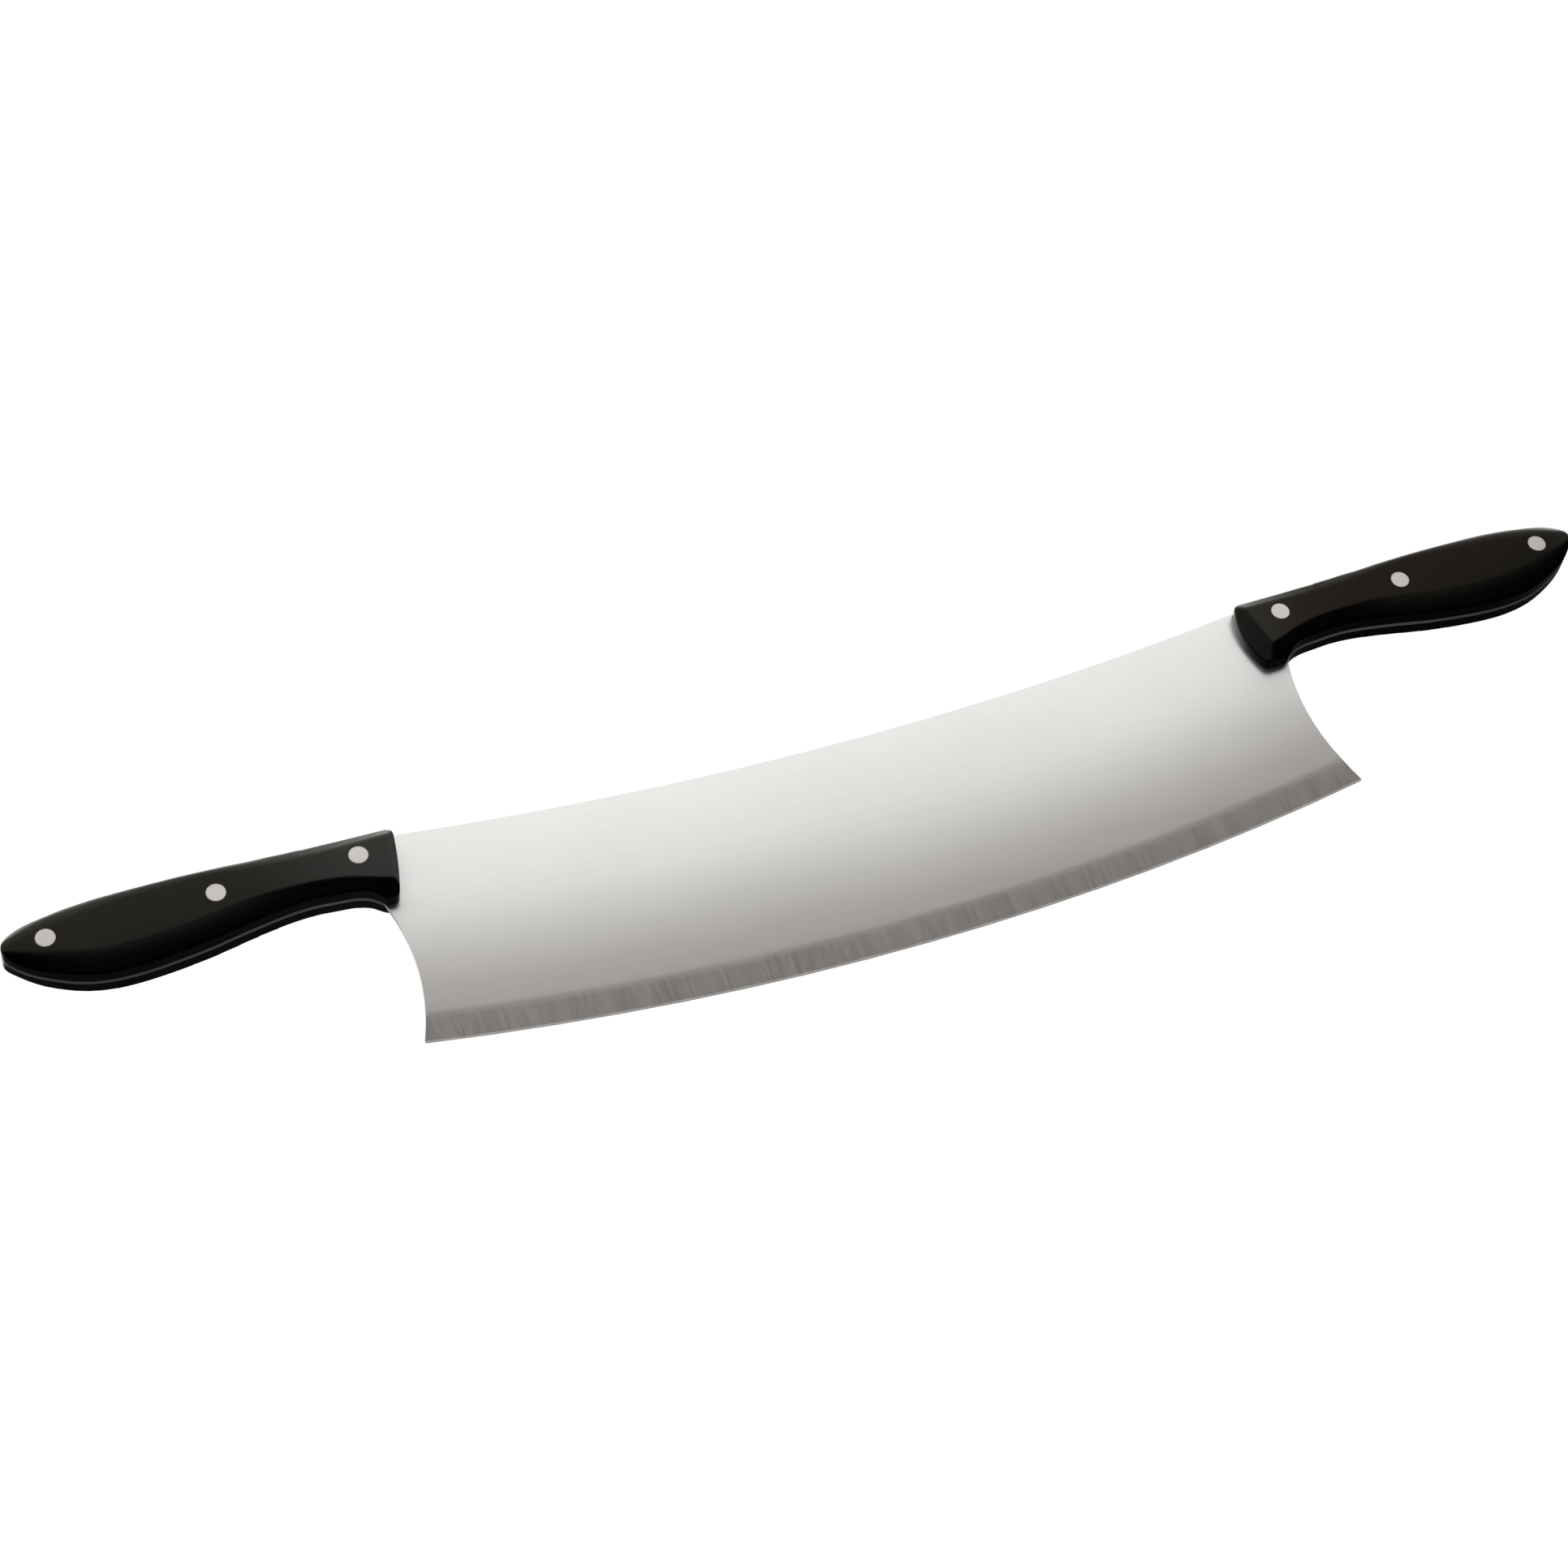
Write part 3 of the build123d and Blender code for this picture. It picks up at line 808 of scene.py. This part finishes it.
def place_camera(stage):
    data = bpy.data.cameras.new("camera")
    data.lens = stage.lens
    data.sensor_width = SENSOR_WIDTH
    camera = link_object("camera", data)
    level = math.cos(stage.elevation)
    back = Vector((
        math.sin(stage.azimuth) * level,
        -math.cos(stage.azimuth) * level,
        math.sin(stage.elevation),
    ))
    camera.location = Vector(stage.aim) + back * stage.distance
    camera.rotation_mode = "QUATERNION"
    camera.rotation_quaternion = (-back).to_track_quat("-Z", "Y") @ Quaternion((0.0, 0.0, 1.0), stage.roll)
    bpy.context.scene.camera = camera


# ---- operators -----------------------------------------------------------------
class ROCKING_KNIFE_OT_finish_blade(bpy.types.Operator):
    """Give the blade and its tangs their brushed and ground steel"""

    bl_idname = "rocking_knife.finish_blade"
    bl_label = "Finish Blade"

    def execute(self, context):
        dress(NODES["blade"], blade_steel(context.scene.knife_steel))
        return {"FINISHED"}


class ROCKING_KNIFE_OT_ease_scales(bpy.types.Operator):
    """Rebuild the four handle scales with rounded rims, in black plastic"""

    bl_idname = "rocking_knife.ease_scales"
    bl_label = "Ease Scales"

    def execute(self, context):
        plastic = handle_plastic(context.scene.knife_plastic)
        for side in SIDES:
            for face in FACES:
                dress(eased_scale(side, face, context.scene.knife_scales), plastic)
        return {"FINISHED"}


class ROCKING_KNIFE_OT_finish_rivets(bpy.types.Operator):
    """Give both halves of the six rivets their faced steel"""

    bl_idname = "rocking_knife.finish_rivets"
    bl_label = "Finish Rivets"

    def execute(self, context):
        steel = rivet_steel(context.scene.knife_steel)
        for side, place in RIVET_CENTRES:
            for half in HALVES:
                dress(NODES[f"{side}_{place}_rivet_{half}"], steel)
        return {"FINISHED"}


class ROCKING_KNIFE_OT_build_stage(bpy.types.Operator):
    """Add the floor, the soft light and the camera"""

    bl_idname = "rocking_knife.build_stage"
    bl_label = "Build Stage"

    def execute(self, context):
        stage = context.scene.knife_stage
        steel_lamps(stage)
        place_camera(stage)
        pale_floor()
        graded_ceiling(stage)
        studio_world(stage)
        context.scene.view_settings.view_transform = "Standard"
        return {"FINISHED"}


class ROCKING_KNIFE_PT_panel(bpy.types.Panel):
    """Sizes, colours and operators of the knife, group by group"""

    bl_label = "Rocking Knife"
    bl_space_type = "VIEW_3D"
    bl_region_type = "UI"
    bl_category = "Rocking Knife"

    def draw(self, context):
        for groups, operators in STEPS:
            box = self.layout.box()
            for group in groups:
                settings = getattr(context.scene, group)
                for name in settings.__annotations__:
                    box.prop(settings, name)
            for operator in operators:
                box.operator(operator.bl_idname)


SETTINGS = {
    "knife_steel": SteelFinish,
    "knife_scales": ScaleShape,
    "knife_plastic": PlasticFinish,
    "knife_stage": StudioStage,
}
STEPS = (
    (("knife_steel",), (ROCKING_KNIFE_OT_finish_blade, ROCKING_KNIFE_OT_finish_rivets)),
    (("knife_scales", "knife_plastic"), (ROCKING_KNIFE_OT_ease_scales,)),
    (("knife_stage",), (ROCKING_KNIFE_OT_build_stage,)),
)
OPERATORS = [operator for _, operators in STEPS for operator in operators]
CLASSES = (*SETTINGS.values(), *OPERATORS, ROCKING_KNIFE_PT_panel)


def register():
    for cls in CLASSES:
        bpy.utils.register_class(cls)
    for name, group in SETTINGS.items():
        setattr(bpy.types.Scene, name, PointerProperty(type=group))


def unregister():
    for name in SETTINGS:
        delattr(bpy.types.Scene, name)
    for cls in reversed(CLASSES):
        bpy.utils.unregister_class(cls)


def main():
    register()
    bpy.ops.rocking_knife.build_stage()
    bpy.ops.rocking_knife.finish_blade()
    bpy.ops.rocking_knife.ease_scales()
    bpy.ops.rocking_knife.finish_rivets()


if __name__ == "__main__":
    main()
